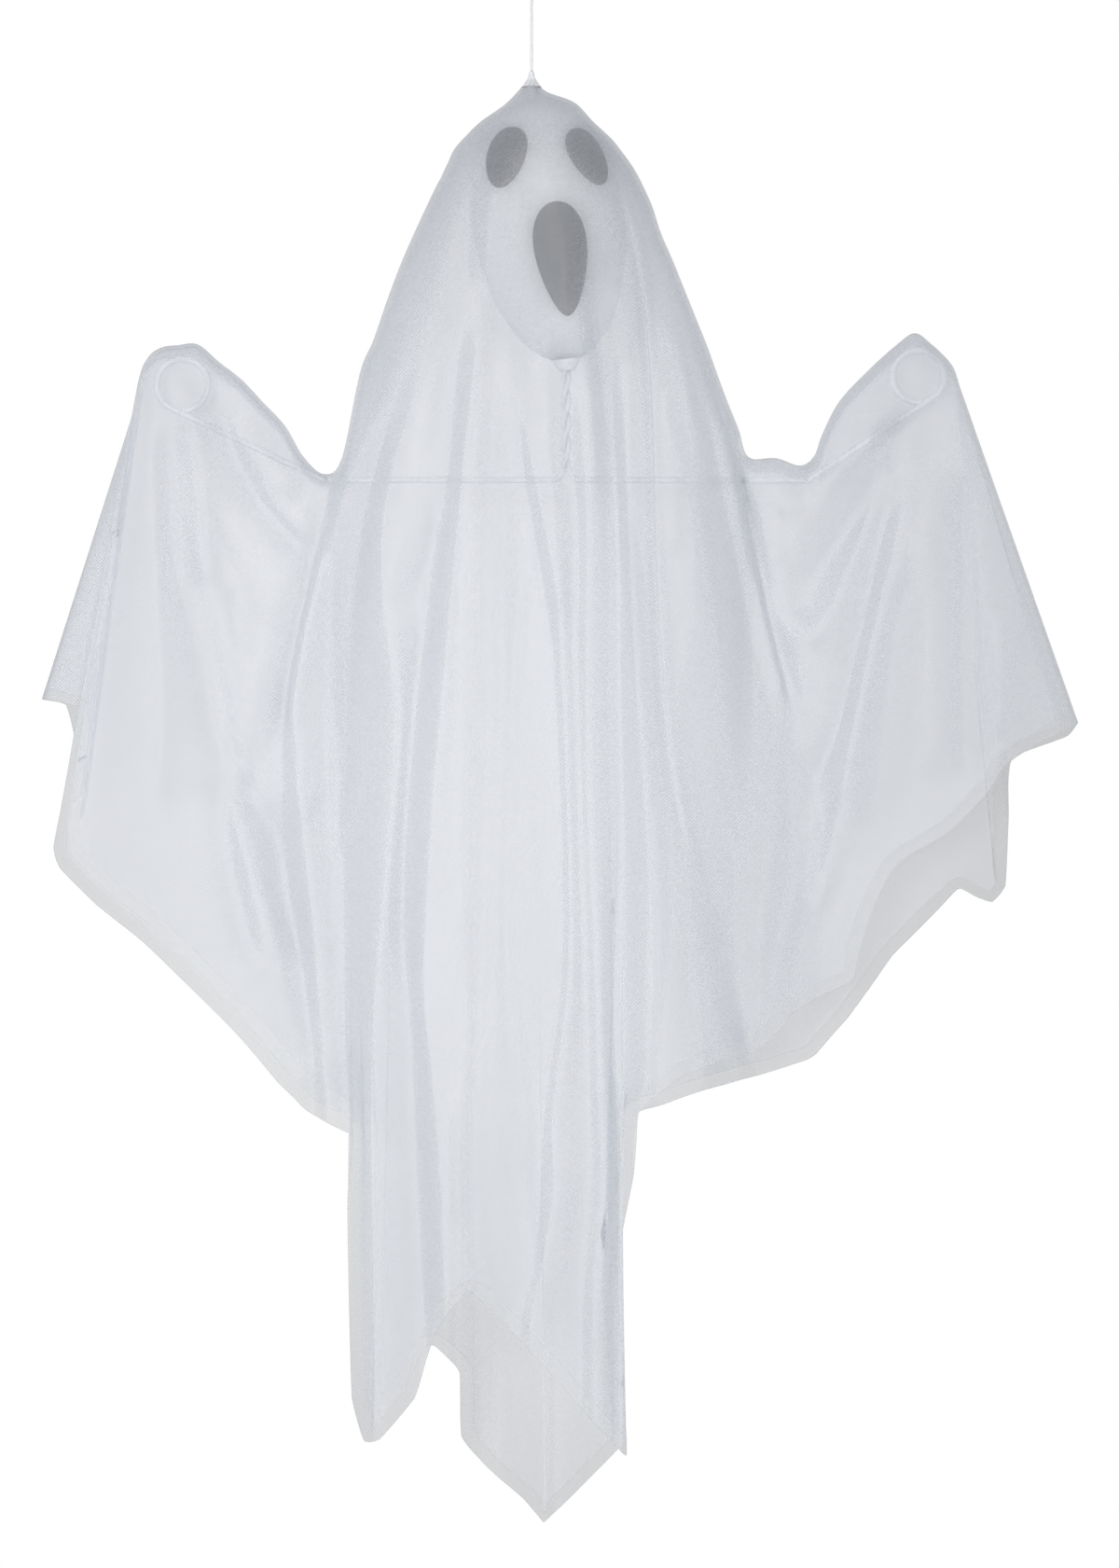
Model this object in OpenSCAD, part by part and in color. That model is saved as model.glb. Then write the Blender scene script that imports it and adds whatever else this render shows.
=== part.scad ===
// Hanging ghost decoration: a foam head on a bent wire, under two sheets of thin draped cloth.
// Origin: inside top of the hanging loop. +Z up, the face looks along -Y.

/* [Hanging cord] */
// Diameter of the white cord
cord_d = 1.2; // [0.8:0.1:1.6]
// Diameter of the knot under the loop
knot_d = 5.2; // [4:0.2:5.4]
// Inside top of the loop down to the middle of the knot
knot_drop = 30; // [29:0.5:34]
// Free cord between the knot and the crown cone
cord_free = 34; // [30:1:80]
// Height of the glue cone on the crown
cone_h = 5; // [3:0.5:8]
// Diameter of the glue cone's foot
cone_d = 7; // [5:0.5:9]

/* [Head] */
// Widest diameter of the foam egg
head_w = 53; // [46:1:60]
// Height of the foam egg along its axis
head_h = 92; // [84:1:100]
// Crown of the egg down to its widest ring
head_widest = 40; // [36:1:46]
// Lean of the head, chin towards +X
head_tilt = 8; // [0:1:12]
// Turn of the face towards +X
head_turn = 6; // [0:1:15]

/* [Face] */
// Width of an eye patch
eye_w = 17; // [14:0.5:19]
// Height of an eye patch
eye_h = 21; // [16:0.5:24]
// Crown down to the middle of the right eye
eye_drop = 24; // [20:0.5:28]
// How much higher the left eye is glued, which levels the eyes on the leaning head
left_eye_rise = 3.5; // [0:0.5:5]
// Angle of each eye from the middle of the face
eye_angle = 38; // [33:1:42]
// Outward lean of the eyes
eye_lean = 10; // [0:1:15]
// Width of the mouth patch
mouth_w = 20.5; // [14:0.5:24]
// Height of the mouth patch
mouth_h = 39; // [30:0.5:42]
// Crown down to the middle of the mouth
mouth_drop = 58; // [54:0.5:62]
// Thickness of the black patches
patch_t = 0.6; // [0.4:0.1:1]

/* [Wire] */
// Diameter of the soft wire
wire_d = 2; // [1.6:0.1:2.4]
// Neck wire's place beside the cord
neck_x = 12; // [9:0.5:14]
// Length of neck wire pushed into the head
neck_in = 26; // [20:1:32]
// Chin down to the level of the shoulder wires
neck_out = 41; // [36:1:50]
// Full turns in the twisted neck
neck_turns = 4; // [2:1:6]
// Neck to each elbow
shoulder_l = 84; // [76:1:92]
// Elbow to the middle of the left hand loop, sideways
left_reach = 49; // [44:1:54]
// Elbow to the middle of the left hand loop, upwards
left_rise = 33; // [28:1:42]
// Elbow to the middle of the right hand loop, sideways
right_reach = 38; // [34:1:46]
// Elbow to the middle of the right hand loop, upwards
right_rise = 36; // [30:1:42]
// Radius of the hand loops at the wire's middle
loop_r = 9; // [7:0.5:10]

/* [Sheets] */
// Thickness that each sheet is drawn with
sheet_t = 0.6; // [0.4:0.1:0.8]
// Air between the two sheets
sheet_gap = 0.5; // [0.4:0.1:0.8]
// Outer sheet's middle above the foam and the wire
cover = 3.2; // [3:0.1:4]
// Depth of the hanging folds
fold_depth = 4; // [2:0.5:5]
// Front of the body to its middle
body_depth = 31; // [30:1:36]
// Crown down to the lowest tip, at the back
tail_drop = 498; // [460:1:540]
// Crown down to the left front tip
left_tip_drop = 465; // [440:1:500]
// Crown down to the right front tip
right_tip_drop = 470; // [440:1:500]
// Crown down to the front hem between the tips
notch_drop = 414; // [390:1:430]
// Crown down to the hem beside the tails
side_drop = 360; // [340:1:380]
// Left hand's middle to the outer corner, sideways
left_corner_out = 48; // [40:1:56]
// Left hand's middle down to the outer corner
left_corner_drop = 109; // [100:1:125]
// Right hand's middle to the outer corner, sideways
right_corner_out = 54; // [46:1:62]
// Right hand's middle down to the outer corner
right_corner_drop = 120; // [110:1:135]
// Inner hem's distance above the outer hem
hem_step = 4.5; // [2:0.5:8]

/* [Hidden] */
$fn = 64;

// Small clearances: moving ends, and pieces that only touch
run_gap = 0.35;
seat_gap = 0.15;
cord_sides = 8;
bore_over = 10;

// Heights, from the loop down
knot_z = -knot_drop;
cord_top_z = knot_z - knot_d / 2 - run_gap;
cone_top_z = cord_top_z - cord_free;
cone_foot_z = cone_top_z - cone_h;
crown_z = cone_foot_z - seat_gap - sheet_t / 2 - cone_d / 2 * sin(head_tilt);
head_z = crown_z - cover;

// Cord anchored in the crown of the head
anchor_bore_d = 4.6;
anchor_knot_d = 4.2;
anchor_drop = 22;
anchor_z = head_z - anchor_drop;

// Chin and wire levels
chin_z = head_z - head_h * cos(head_tilt);
bar_z = chin_z - neck_out;
twist_d = 2 * wire_d;
neck_bore_d = twist_d + 2 * seat_gap;
neck_bend_r = 2 * wire_d;
neck_top_z = chin_z + neck_in;
neck_foot_z = bar_z + neck_bend_r;
neck_glue_h = 3;

// Elbows and hand loops as [x, z] in the plane of the arms
left_elbow = [neck_x - shoulder_l, bar_z];
right_elbow = [neck_x + shoulder_l, bar_z];
left_hand = left_elbow + [-left_reach, left_rise];
right_hand = right_elbow + [right_reach, right_rise];
loop_turn = 335;

// Right half of the loop from its top to the knot, as [x, share of the way down]; the left half mirrors it
loop_half = [[0, 0], [2.8, 0.03], [5.4, 0.12], [6.8, 0.28], [6.4, 0.46], [4.6, 0.68], [2.2, 0.89], [0.9, 1]];
loop_l = cord_d / 2 + knot_drop - knot_d / 2 - 2 * run_gap;
loop_route = [for (i = [1 - len(loop_half):len(loop_half) - 1])
    let (p = loop_half[abs(i)])
    [sign(i) * p[0], cord_d / 2 - p[1] * loop_l]];

// A straight run of cord as [x, z] points from one height to another
function straight_run(from_z, to_z, steps) =
    [for (i = [0:steps]) [0, from_z + (to_z - from_z) * i / steps]];

// Rings of a round cord along an [x, z] route
function unit(v) = v / norm(v);
function route_way(route, i) = unit(route[min(i + 1, len(route) - 1)] - route[max(i - 1, 0)]);
function cord_rings(route, r) =
    [for (i = [0:len(route) - 1], k = [0:cord_sides - 1])
        let (way = route_way(route, i), a = 360 * k / cord_sides)
        [route[i][0] - way[1] * r * cos(a), r * sin(a), route[i][1] + way[0] * r * cos(a)]];

// Faces of a closed tube made of rings of points
function tube_faces(rings, s) =
    concat(
        [for (i = [0:rings - 2], k = [0:s - 1])
            let (a = i * s + k, b = i * s + (k + 1) % s)
            each [[a, b, a + s], [b, b + s, a + s]]],
        [for (k = [1:s - 2]) [0, k + 1, k]],
        [for (k = [1:s - 2]) [0, k, k + 1] + [1, 1, 1] * (rings - 1) * s]);

// One closed tube of round cord
module cord_tube(route, d) {
    polyhedron(cord_rings(route, d / 2), tube_faces(len(route), cord_sides));
}

// Radius of the egg, h below its crown
function egg_r(h) =
    h <= 0 || h >= head_h ? 0
    : let (span = h < head_widest ? head_widest : head_h - head_widest)
      head_w / 2 * sqrt(1 - pow((h - head_widest) / span, 2));

// The egg as a solid of revolution, grown by a skin; its crown is at the origin
egg_steps = 30;
module egg(skin = 0) {
    profile = [for (i = [0:egg_steps])
        let (h = head_h * (1 - cos(180 * i / egg_steps)) / 2)
        [egg_r(h) + (i == 0 || i == egg_steps ? 0 : skin),
            -h + (i == 0 ? skin : i == egg_steps ? -skin : 0)]];
    rotate_extrude() polygon(concat([[0, -head_h - skin], [0, skin]], profile));
}

// Places a piece of the face or head in the tilted head
module on_head() {
    translate([0, 0, head_z]) rotate([0, -head_tilt, 0]) children();
}

// A thin black patch: the part of the egg's skin inside an outline looking at the face
patch_seat = 0.05;
module face_patch(drop, angle, lean) {
    on_head() color("black") rotate([0, 0, head_turn + angle]) intersection() {
        difference() {
            egg(patch_seat + patch_t);
            egg(patch_seat);
        }
        translate([0, 0, -drop]) rotate([90, 0, 0]) rotate([0, 0, lean])
            linear_extrude(head_w) children();
    }
}

// Egg-shaped outline of a patch, wider above: top_share is how much wider
outline_steps = 40;
module patch_outline(w, h, top_share) {
    polygon([for (i = [0:outline_steps - 1])
        let (a = 360 * i / outline_steps)
        [w / 2 * sin(a) * (1 - top_share + top_share * cos(a)) / (1 - top_share / 2), h / 2 * cos(a)]]);
}

// Hanging cord pieces
module hang_loop() { color("white") cord_tube(loop_route, cord_d); }

// The overhand knot: crossed wraps of cord round a tight core
wrap_leans = [-35, 35, 90];
module loop_knot() {
    wrap_r = (knot_d - cord_d) / 2;
    color("white") translate([0, 0, knot_z]) {
        sphere(r = wrap_r);
        for (lean = wrap_leans) rotate([lean, lean / 2, 0])
            rotate_extrude() translate([wrap_r, 0]) circle(d = cord_d);
    }
}

cord_run_steps = 12;
module hang_cord() {
    color("white") cord_tube(straight_run(cord_top_z, cone_top_z + run_gap, cord_run_steps), cord_d);
}

tail_run_steps = 10;
module cord_tail() {
    color("white") cord_tube(straight_run(cone_top_z, anchor_z + anchor_knot_d / 2, tail_run_steps), cord_d);
}

// Cone of drawn-up cloth and glue round the cord on the crown
cone_wall = 0.35;
cone_power = 2.2;
cone_steps = 10;
module crown_glue() {
    bore_r = cord_d / 2 + seat_gap / 3;
    rim = cord_d / 2 + cone_wall;
    flank = [for (i = [0:cone_steps])
        let (t = i / cone_steps)
        [rim + (cone_d / 2 - rim) * pow(t, cone_power), cone_top_z - cone_h * t]];
    color("whitesmoke") rotate_extrude()
        polygon(concat([[bore_r, cone_foot_z], [bore_r, cone_top_z]], flank));
}

module anchor_knot() { color("white") translate([0, 0, anchor_z]) sphere(d = anchor_knot_d); }

module anchor_glue() {
    color("ivory") translate([0, 0, anchor_z + anchor_knot_d / 2 + seat_gap]) difference() {
        cylinder(d = anchor_bore_d - seat_gap, h = anchor_drop - anchor_knot_d - 2 * seat_gap);
        translate([0, 0, -bore_over]) cylinder(d = cord_d + seat_gap, h = anchor_drop + bore_over);
    }
}

// Foam head with the cord's bore in its crown and the neck's bore in its chin
module head() {
    color("white") difference() {
        on_head() egg();
        translate([0, 0, anchor_z - anchor_knot_d / 2 - seat_gap])
            cylinder(d = anchor_bore_d, h = anchor_drop + bore_over);
        translate([neck_x, 0, chin_z - bore_over])
            cylinder(d = neck_bore_d, h = neck_in + bore_over + seat_gap);
    }
}

// Face
eye_top_share = 0.1;
mouth_top_share = 0.24;
module left_eye() {
    face_patch(eye_drop - left_eye_rise, -eye_angle, -eye_lean) patch_outline(eye_w, eye_h, eye_top_share);
}
module right_eye() { face_patch(eye_drop, eye_angle, eye_lean) patch_outline(eye_w, eye_h, eye_top_share); }
module mouth() { face_patch(mouth_drop, 0, 0) patch_outline(mouth_w, mouth_h, mouth_top_share); }

// Neck: the two wires twisted together, each a helix of round rings
rings_per_turn = 8;
lay_r = wire_d / 2 + seat_gap / 4;
module neck_strand(side) {
    rings = rings_per_turn * neck_turns;
    r = wire_d / 2 - seat_gap / 4;
    foot_z = neck_foot_z + seat_gap;
    points = [for (i = [0:rings], k = [0:cord_sides - 1])
        let (lay = 360 * neck_turns * i / rings + (side > 0 ? 0 : 180), a = -360 * k / cord_sides)
        [neck_x + lay_r * cos(lay) + r * cos(a), lay_r * sin(lay) + r * sin(a),
            foot_z + (neck_top_z - foot_z) * i / rings]];
    polyhedron(points, tube_faces(rings + 1, cord_sides));
}
module neck_twist() { color("silver") for (side = [-1, 1]) neck_strand(side); }

// Collar of glue under the chin, round the neck
collar_wall = 0.8;
collar_flare = 4;
module neck_glue() {
    bore_r = twist_d / 2 + seat_gap;
    color("ivory") difference() {
        translate([neck_x, 0, chin_z - neck_glue_h])
            cylinder(r1 = bore_r + collar_wall, r2 = bore_r + collar_flare, h = 2 * neck_glue_h);
        translate([neck_x, 0, chin_z - bore_over]) cylinder(r = bore_r, h = 2 * bore_over);
        on_head() egg(seat_gap);
    }
}

// A wire that bends out of the neck's foot and runs level to the elbow
module shoulder_wire(side) {
    start_x = neck_x + side * lay_r;
    run = shoulder_l - lay_r - neck_bend_r - wire_d / 2 - run_gap;
    color("silver") {
        translate([start_x + side * neck_bend_r, 0, neck_foot_z]) rotate([90, 0, 0])
            rotate([0, 0, side > 0 ? 180 : 270]) rotate_extrude(angle = 90)
                translate([neck_bend_r, 0]) circle(d = wire_d);
        translate([start_x + side * neck_bend_r, 0, bar_z]) rotate([0, side * 90, 0])
            cylinder(d = wire_d, h = run);
    }
}
module left_shoulder_wire() { shoulder_wire(-1); }
module right_shoulder_wire() { shoulder_wire(1); }

// A forearm: round end in the elbow, straight wire, and a hand loop that leaves the wire on a tangent
module forearm_wire(elbow, hand, side) {
    way = hand - elbow;
    stem_l = sqrt(way * way - loop_r * loop_r);
    lift = atan2(way[1], abs(way[0])) - asin(loop_r / norm(way));
    flip = side < 0 ? 1 : 0;
    color("silver") translate([elbow[0], 0, elbow[1]]) mirror([flip, 0, 0]) rotate([0, -lift, 0]) {
        sphere(d = wire_d);
        rotate([0, 90, 0]) cylinder(d = wire_d, h = stem_l);
        translate([stem_l, 0, loop_r]) rotate([90, 0, 0]) rotate([0, 0, -90])
            rotate_extrude(angle = loop_turn) translate([loop_r, 0]) circle(d = wire_d);
    }
}
module left_forearm_wire() { forearm_wire(left_elbow, left_hand, -1); }
module right_forearm_wire() { forearm_wire(right_elbow, right_hand, 1); }

// The draped sheets. Stations run from the left corner over the left hand, elbow and cheek to the
// crown at station 13, and on to the right corner at 26. Strands hang from the ridge to the hem.
crown_st = 13;
last_st = 2 * crown_st;
ridge_slack = 1.2;
ridge_h = wire_d / 2 + cover + ridge_slack;
hand_ring = loop_r + ridge_h;
cone_x = 3.5;
cone_half = 71;
cone_rise = 6;
cone_bulge = 2;

// A point of the ridge round a hand, and one along a forearm, as [x, z]
function round_hand(hand, a) = hand + hand_ring * [cos(a), sin(a)];
function along_arm(elbow, hand, t) =
    let (way = unit(hand - elbow), up = way[0] > 0 ? [-way[1], way[0]] : [way[1], -way[0]])
    elbow + (hand - elbow) * t + up * (ridge_h + loop_r * t * t);

// The cloth over the head: an egg one cover larger, and a point of its outline phi round from the crown
cloth_r = head_w / 2 + cover;
cloth_h = head_widest + cover;
function tilted(side, h) =
    [side * cos(head_tilt) + h * sin(head_tilt), head_z - h * cos(head_tilt) + side * sin(head_tilt)];
function over_egg(phi) = tilted(cloth_r * sin(phi), cloth_h * (1 - cos(phi)) - cover);
function cloth_bell(h) =
    h < head_widest ? cloth_r * sqrt(max(0, 1 - pow((head_widest - h) / cloth_h, 2))) : cloth_r;

// The straight flanks from the cheeks down to the shoulders
cheek_phi = 64;
function cone_foot(side) = [cone_x + side * cone_half, bar_z + ridge_h + cone_rise];
function cone_edge(side, t) =
    let (top = over_egg(side * cheek_phi), foot = cone_foot(side))
    top + (foot - top) * t + [side * cone_bulge * sin(180 * t), 0];

// Ridge from each corner to its cheek, one point per station
left_ridge = [round_hand(left_hand, 185), round_hand(left_hand, 140), round_hand(left_hand, 98),
    round_hand(left_hand, 62), along_arm(left_elbow, left_hand, 0.5), along_arm(left_elbow, left_hand, 0.2),
    left_elbow + [0, ridge_h], cone_foot(-1), cone_edge(-1, 0.68), cone_edge(-1, 0.33),
    over_egg(-cheek_phi)];
right_ridge = [over_egg(cheek_phi), cone_edge(1, 0.33), cone_edge(1, 0.68), cone_foot(1),
    right_elbow + [0, ridge_h], along_arm(right_elbow, right_hand, 0.2),
    along_arm(right_elbow, right_hand, 0.5), round_hand(right_hand, 118), round_hand(right_hand, 82),
    round_hand(right_hand, 40), round_hand(right_hand, -5)];
head_st = crown_st + 1 - len(left_ridge);

// Hem corners as [station, x, z], front and back
left_corner = left_hand + [-left_corner_out, -left_corner_drop];
right_corner = right_hand + [right_corner_out, -right_corner_drop];
front_hem = [[0, left_corner[0], left_corner[1]],
    [2, left_corner[0] + 5, left_corner[1] - 54],
    [7, -61, crown_z - side_drop],
    [9.5, -53, crown_z - left_tip_drop],
    [12, -20, crown_z - notch_drop],
    [16, 29, crown_z - right_tip_drop],
    [18, 43, crown_z - side_drop],
    [20, 86, crown_z - side_drop + 28],
    [23, right_corner[0] - 62, right_corner[1] - 48],
    [24, right_corner[0] - 26, right_corner[1] - 16],
    [26, right_corner[0], right_corner[1]]];
back_hem = [[0, left_corner[0], left_corner[1]],
    [2, left_corner[0] + 14, left_corner[1] - 6],
    [7, -60, crown_z - side_drop + 10],
    [10, -28, crown_z - tail_drop + 28],
    [13, 4, crown_z - tail_drop],
    [16, 29, crown_z - tail_drop + 26],
    [18, 43, crown_z - side_drop],
    [20, 97, crown_z - side_drop + 21],
    [23, right_corner[0] - 40, right_corner[1] - 62],
    [24, right_corner[0] - 24, right_corner[1] - 58],
    [26, right_corner[0], right_corner[1]]];

// Columns of the cloth, as stations; the two beside the crown leave the cord's hole between them
left_columns = [0, 1, 2, 3, 4, 5, 6, 7, 8, 9, 9.5, 10, 10.5, 11, 11.6, 12.2, 12.8];
columns = concat(left_columns, [for (i = [len(left_columns) - 1:-1:0]) last_st - left_columns[i]]);
last_col = len(columns) - 1;
ring = 2 * len(columns);
// Rows down each strand: the first in millimetres round the ridge, the rest as shares of what is left
near_rows = [0, 2, 6, 13, 28, 56];
far_rows = [0.3, 0.62, 1];
last_row = len(near_rows) + len(far_rows) - 1;
function row_share(j, strand_l) =
    let (near = near_rows[min(j, len(near_rows) - 1)] / strand_l)
    j < len(near_rows) ? near : near + (1 - near) * far_rows[j - len(near_rows)];

// Ridge and hem points of a column
function between(list, u) =
    let (a = min(floor(u), len(list) - 2))
    list[a] + (list[a + 1] - list[a]) * (u - a);
function ridge_at(st) =
    abs(st - crown_st) <= head_st ? over_egg(cheek_phi * (st - crown_st) / head_st)
    : st < crown_st ? between(left_ridge, st) : between(right_ridge, st - crown_st - head_st);
function hem_at(hem, st) =
    [lookup(st, [for (p = hem) [p[0], p[1]]]), lookup(st, [for (p = hem) [p[0], p[2]]])];

// Half depth of the drape: a flat wing over each arm, a round cone under the head, and the head itself
edge_depth = 2.4;
wing_depth = 8.5;
wing_round = 40;
corner_run = 2;
top_round = 6;
cone_spread = 16;
function cone_width(z) =
    lookup(z, [[crown_z - tail_drop, cone_half + cone_spread], [cone_foot(1)[1], cone_half],
        [over_egg(cheek_phi)[1], cloth_r * sin(cheek_phi)]]);
function cone_deep(z) =
    body_depth * lookup(crown_z - z, [[0, 0.4], [47, 0.84], [187, 0.97], [tail_drop, 1]]);
function cone_depth(p) =
    let (share = (p[0] - cone_x) / cone_width(p[1]))
    abs(share) < 1 ? cone_deep(p[1]) * sqrt(1 - share * share) : 0;
function head_depth(p) =
    let (down = head_z - p[1],
        h = down * cos(head_tilt) + p[0] * sin(head_tilt),
        side = p[0] * cos(head_tilt) - down * sin(head_tilt),
        r = cloth_bell(h))
    abs(side) < r ? sqrt(r * r - side * side) : 0;
function smooth_step(a, b, x) = let (t = max(0, min(1, (x - a) / (b - a)))) t * t * (3 - 2 * t);

// Main folds as [station, share of fold_depth]: crests above 0, grooves below
folds = [[0, 0], [1.5, 0.5], [3, -0.7], [4, 0.4], [4.8, -0.6], [5.6, 0.5], [7.5, 0.2], [9.1, -0.7],
    [9.8, 0.7], [11.3, 0], [12.4, -0.3], [12.9, 0.5], [13.5, -0.5], [14.2, 0.2], [14.9, -0.5], [15.8, 0.7],
    [17.1, -0.5], [18, 0.4], [19.2, -0.2], [20.4, 0], [21.4, 0.5], [22.2, 0.3], [23.5, -0.6],
    [24.5, 0.3], [26, 0]];
fold_from = 20;
fold_full = 90;
function fold_wave(st, fall) = fold_depth * lookup(st, folds) * smooth_step(fold_from, fold_full, fall);
function strand_depth(st, front, fall, p) =
    let (inward = min(1, min(st, last_st - st) / corner_run),
        wing = edge_depth + (wing_depth - edge_depth) * inward * sqrt(min(1, fall / wing_round)),
        cone = cone_depth(p) * sqrt(min(1, fall / top_round)))
    max(head_depth(p), max(wing, cone) + fold_wave(front ? st : last_st - st, fall));

// A point of the drape's middle surface: columns run along the front and come back along the back
function col_of(i) = i <= last_col ? i : ring - 1 - i;
function drape_point(i, j) =
    let (front = i <= last_col,
        st = columns[col_of(i)],
        top = ridge_at(st),
        foot = hem_at(front ? front_hem : back_hem, st),
        strand_l = norm(foot - top),
        v = row_share(j, strand_l),
        p = top + (foot - top) * v,
        y = strand_depth(st, front, v * strand_l, p))
    [p[0], front ? -y : y, p[1]];
drape = [for (j = [0:last_row]) [for (i = [0:ring - 1]) drape_point(i, j)]];

// Outward direction at each point, across the ridge at the top row, longer at the turned edges, and the
// same at the hem as in the row above it
edge_miter = 1.35;
function drape_out(i, j) =
    let (row = min(j, last_row - 1),
        along = drape[row][(i + 1) % ring] - drape[row][(i + ring - 1) % ring],
        above = row == 0 ? drape[0][ring - 1 - i] : drape[row - 1][i],
        down = drape[row + 1][i] - above,
        turned = row == 0 || col_of(i) == 0 || col_of(i) == last_col)
    unit(cross(down, along)) * (turned ? edge_miter : 1);
outward = [for (j = [0:last_row]) [for (i = [0:ring - 1]) drape_out(i, j)]];

// Middle surface shifted along its outward direction; the last row is drawn up by cut
function shifted(out, cut) =
    [for (j = [0:last_row], i = [0:ring - 1])
        let (p = drape[j][i] + outward[j][i] * out,
            q = drape[max(j - 1, 0)][i] + outward[max(j - 1, 0)][i] * out)
        j == last_row ? p + unit(q - p) * cut : p];

// A closed sheet between two shifted surfaces
module sheet(out, cut) {
    count = ring * (last_row + 1);
    gap_col = (len(columns) - 2) / 2;
    quads = concat(
        [for (j = [0:last_row - 1], i = [0:ring - 1])
            [j * ring + i, (j + 1) * ring + i, (j + 1) * ring + (i + 1) % ring, j * ring + (i + 1) % ring]],
        [for (i = [0:last_col - 1]) if (i != gap_col) [i, i + 1, ring - 2 - i, ring - 1 - i]]);
    skin = [for (q = quads) each [[q[0], q[2], q[1]], [q[0], q[3], q[2]]]];
    lining = [for (t = skin) [t[2], t[1], t[0]] + [count, count, count]];
    hem_edge = [for (i = [0:ring - 1]) [last_row * ring + i, last_row * ring + (i + 1) % ring]];
    hole = [gap_col, gap_col + 1, ring - 2 - gap_col, ring - 1 - gap_col];
    hole_edge = [for (k = [0:3]) [hole[(k + 1) % 4], hole[k]]];
    rim = [for (e = concat(hem_edge, hole_edge))
        each [[e[0], e[1] + count, e[0] + count], [e[0], e[1], e[1] + count]]];
    polyhedron(concat(shifted(out + sheet_t / 2, cut), shifted(out - sheet_t / 2, cut)),
        concat(skin, lining, rim));
}

module inner_sheet() { color("white") sheet(-sheet_t - sheet_gap, hem_step); }
module outer_sheet() { color("white") sheet(0, 0); }

hang_loop();
loop_knot();
hang_cord();
crown_glue();
cord_tail();
anchor_knot();
anchor_glue();
head();
left_eye();
right_eye();
mouth();
neck_twist();
neck_glue();
left_shoulder_wire();
right_shoulder_wire();
left_forearm_wire();
right_forearm_wire();
inner_sheet();
outer_sheet();
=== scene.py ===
import math
import bmesh
import bpy
import numpy as np
from mathutils import Matrix, Vector


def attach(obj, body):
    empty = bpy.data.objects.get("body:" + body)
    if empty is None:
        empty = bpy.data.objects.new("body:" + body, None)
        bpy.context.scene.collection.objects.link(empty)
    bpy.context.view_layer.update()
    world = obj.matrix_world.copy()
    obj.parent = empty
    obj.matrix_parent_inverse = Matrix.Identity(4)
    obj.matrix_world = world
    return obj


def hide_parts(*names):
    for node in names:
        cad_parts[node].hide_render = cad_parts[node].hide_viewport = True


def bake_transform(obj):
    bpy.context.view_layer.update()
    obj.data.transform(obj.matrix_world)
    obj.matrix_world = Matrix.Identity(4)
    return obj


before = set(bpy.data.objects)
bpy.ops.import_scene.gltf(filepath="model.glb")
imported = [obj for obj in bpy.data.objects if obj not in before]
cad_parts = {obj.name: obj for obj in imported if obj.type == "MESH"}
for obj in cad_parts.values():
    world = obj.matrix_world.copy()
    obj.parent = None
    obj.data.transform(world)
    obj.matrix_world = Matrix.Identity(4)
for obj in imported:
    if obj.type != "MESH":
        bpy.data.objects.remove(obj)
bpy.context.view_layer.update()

# Stage and camera: a pale round floor under the hanging ghost and white studio surroundings, with a soft
# lamp from the left and a weaker one from the right, each with a grid that narrows its beam. The camera
# looks straight at the face.
scene = bpy.context.scene
scene.view_settings.view_transform = "Standard"
scene.cycles.transparent_max_bounces = 48
camera_data = bpy.data.cameras.new("camera")
camera = bpy.data.objects.new("camera", camera_data)
scene.collection.objects.link(camera)
scene.camera = camera
camera_distance = 2.4
view_height = 0.5433
camera_data.sensor_width = 36
camera_data.lens = camera_data.sensor_width * camera_distance / view_height
camera.location = (0.0097, -camera_distance, -0.3135)
camera.rotation_euler = (math.radians(90), 0, 0)

floor_radius, floor_level = 1.15, -0.75
floor_mesh = bmesh.new()
bmesh.ops.create_circle(floor_mesh, cap_ends=True, segments=96, radius=floor_radius,
                        matrix=Matrix.Translation((0, 0, floor_level)))
floor_data = bpy.data.meshes.new("floor")
floor_mesh.to_mesh(floor_data)
floor_mesh.free()
floor = bpy.data.objects.new("floor", floor_data)
scene.collection.objects.link(floor)
floor_paint = bpy.data.materials.new("floor_paint")
floor_paint.use_nodes = True
floor_shader = floor_paint.node_tree.nodes["Principled BSDF"]
floor_shader.inputs["Base Color"].default_value = (0.93, 0.93, 0.93, 1)
floor_shader.inputs["Roughness"].default_value = 0.9
floor_data.materials.append(floor_paint)

# The wall is white beside the ghost. Where it is seen through cloth it is greyer, which is painted shade on
# the
# cloth: lightest in an oval patch behind the body, greyer away from it, out at the wings and tails. The
# patch's half sizes are shares of the view direction, and its shift, core and rim are shares of those.
wall_beside, painted_shade_in_patch, painted_shade_outside_patch = 1.0, 0.79, 0.50
patch_width, patch_height = 0.065, 0.12
patch_shift, patch_core, patch_rim = 0.25, 0.25, 1.3
room_front, room_back = 0.24, 0.72
world = bpy.data.worlds.new("studio")
scene.world = world
world.use_nodes = True
world_nodes, world_links = world.node_tree.nodes, world.node_tree.links
world_nodes.clear()
world_out = world_nodes.new("ShaderNodeOutputWorld")
world_mix = world_nodes.new("ShaderNodeMixShader")
seen = world_nodes.new("ShaderNodeBackground")
seen.inputs["Color"].default_value = (1, 1, 1, 1)
seen_with_painted_shade = world_nodes.new("ShaderNodeMapRange")
seen_with_painted_shade.inputs["To Min"].default_value = wall_beside
patch_reach = world_nodes.new("ShaderNodeVectorMath")
patch_reach.operation = "MULTIPLY_ADD"
patch_reach.inputs[1].default_value = (1 / patch_width, 0, 1 / patch_height)
patch_reach.inputs[2].default_value = (patch_shift, 0, 0)
patch_away = world_nodes.new("ShaderNodeVectorMath")
patch_away.operation = "LENGTH"
# Painted shade on the cloth: the wall seen through it dims from the patch's core out to its rim
patch_painted_shade = world_nodes.new("ShaderNodeMapRange")
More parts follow.
